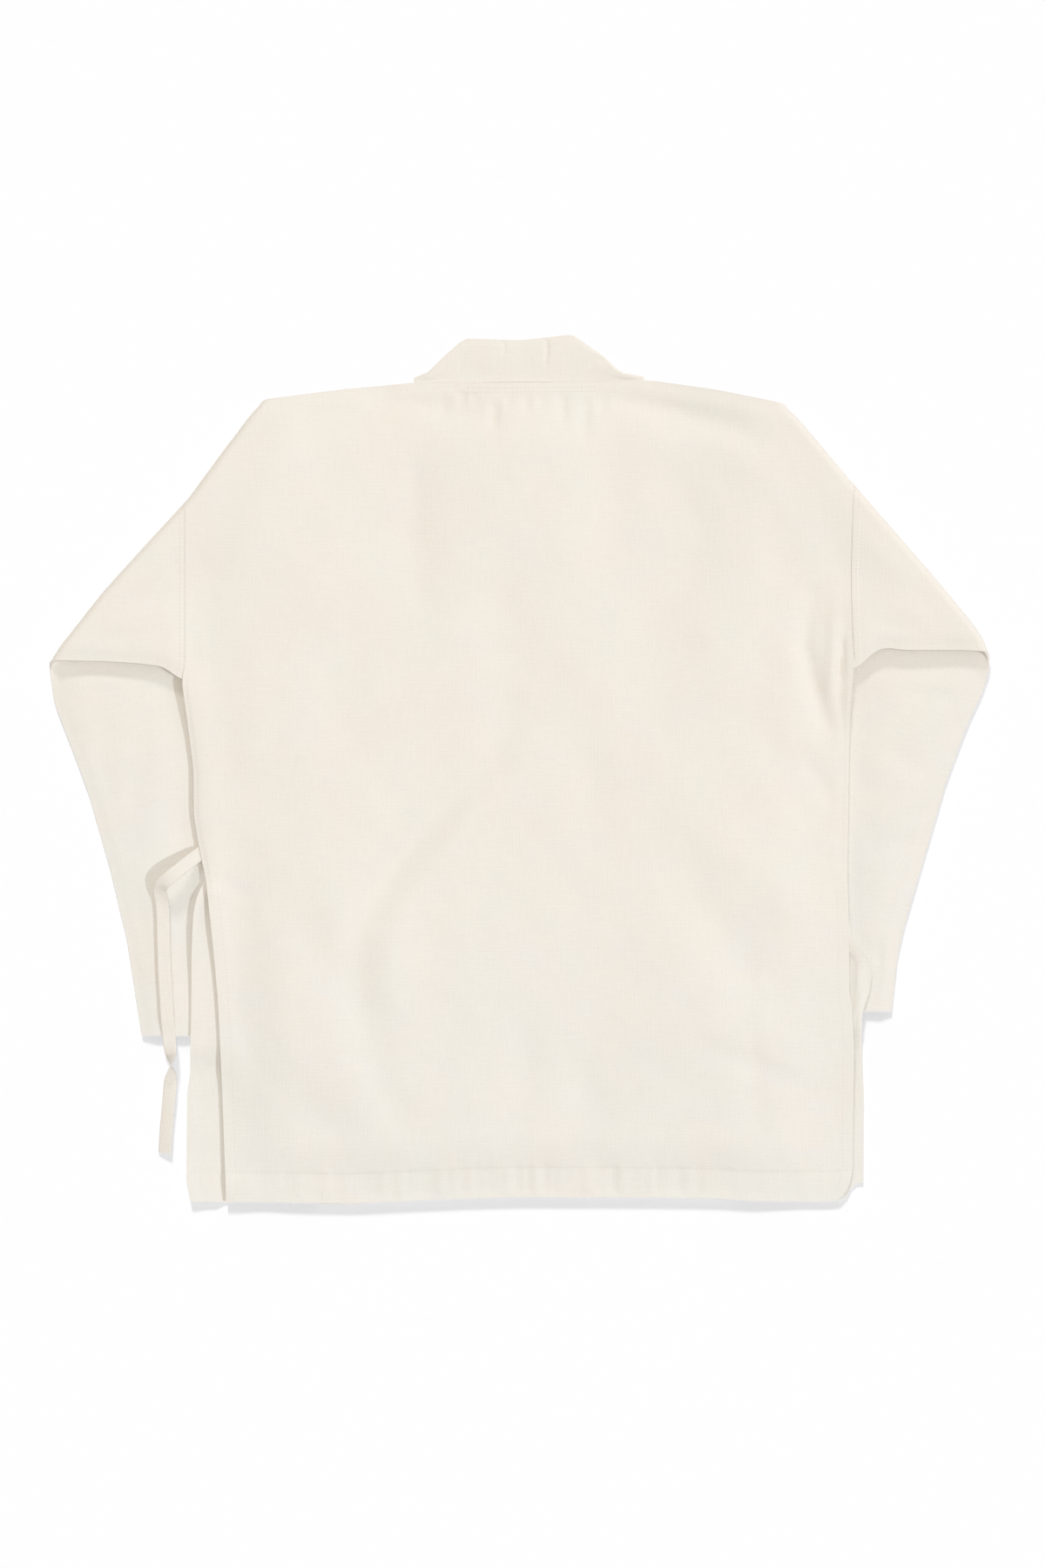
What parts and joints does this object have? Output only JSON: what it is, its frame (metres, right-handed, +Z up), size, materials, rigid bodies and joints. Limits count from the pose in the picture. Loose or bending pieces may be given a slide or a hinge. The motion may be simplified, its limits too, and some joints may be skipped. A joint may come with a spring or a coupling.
{
  "type": "martial arts gi jacket",
  "caption": "Cotton martial arts jacket laid flat face down, back uppermost, both sleeves folded under at a slant, neck band standing past the back and a cloth tie hanging from a side seam.",
  "frame": {"origin": "middle of the outline, on the surface that the jacket lies on", "axes": "+Y from hem to collar, +X to the wearer's right as the back faces up, +Z up from the surface"},
  "size_m": [0.8864, 0.8156, 0.0155],
  "materials": {
    "cloth": "undyed slubby plain weave, matt",
    "band": "undyed plain weave, folded and stitched, matt",
    "tie": "undyed folded tape, matt"
  },
  "bodies": {
    "root": {"back_panel": "cloth", "front_left": "cloth", "front_right": "cloth", "sleeve_left": "cloth", "sleeve_right": "cloth", "collar_back": "band", "lapel_left": "band", "lapel_right": "band", "tie_side": "tie", "tie_front": "tie"}
  },
  "joints": []
}
